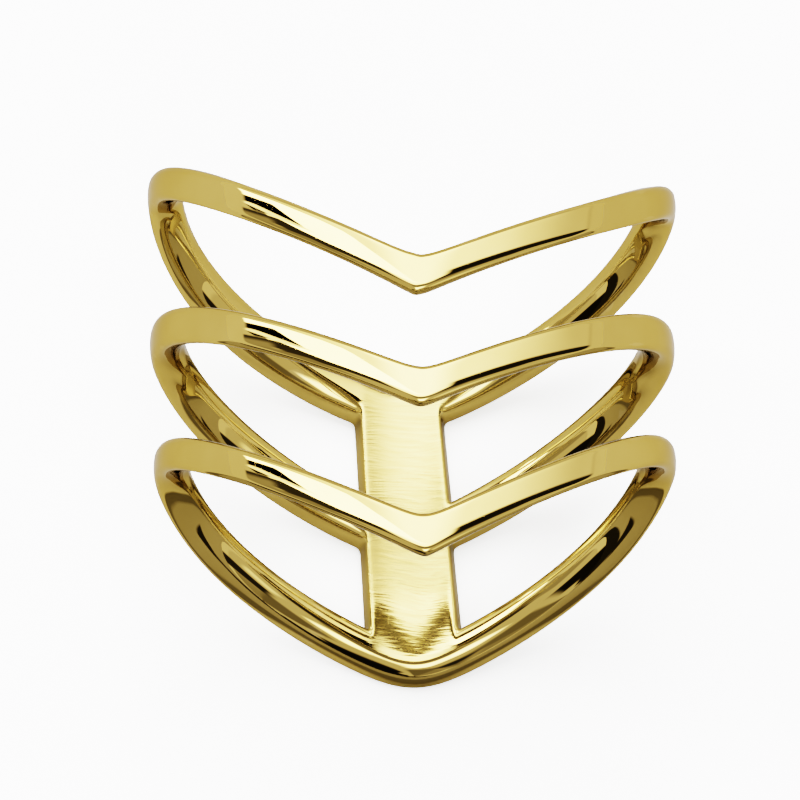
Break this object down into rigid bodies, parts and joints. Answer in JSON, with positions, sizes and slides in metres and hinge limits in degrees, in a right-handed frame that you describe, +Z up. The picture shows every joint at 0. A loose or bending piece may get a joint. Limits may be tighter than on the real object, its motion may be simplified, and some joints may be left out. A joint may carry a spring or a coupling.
{
  "type": "triple chevron finger ring",
  "caption": "Wide open finger ring: V-shaped bands stacked along the finger, joined at the back by a narrow upright plate, in polished yellow metal.",
  "frame": {"origin": "middle of the box's bottom, on the surface that the ring lies on", "axes": "Y along the finger with the V tips towards -Y, +Z up to the front of the ring, X across the finger"},
  "size_m": [0.0202, 0.0178, 0.0202],
  "materials": {
    "gold": "polished yellow gold, finely sanded on the inner face of the back plate"
  },
  "bodies": {
    "root": {"ring": "gold"}
  },
  "joints": []
}
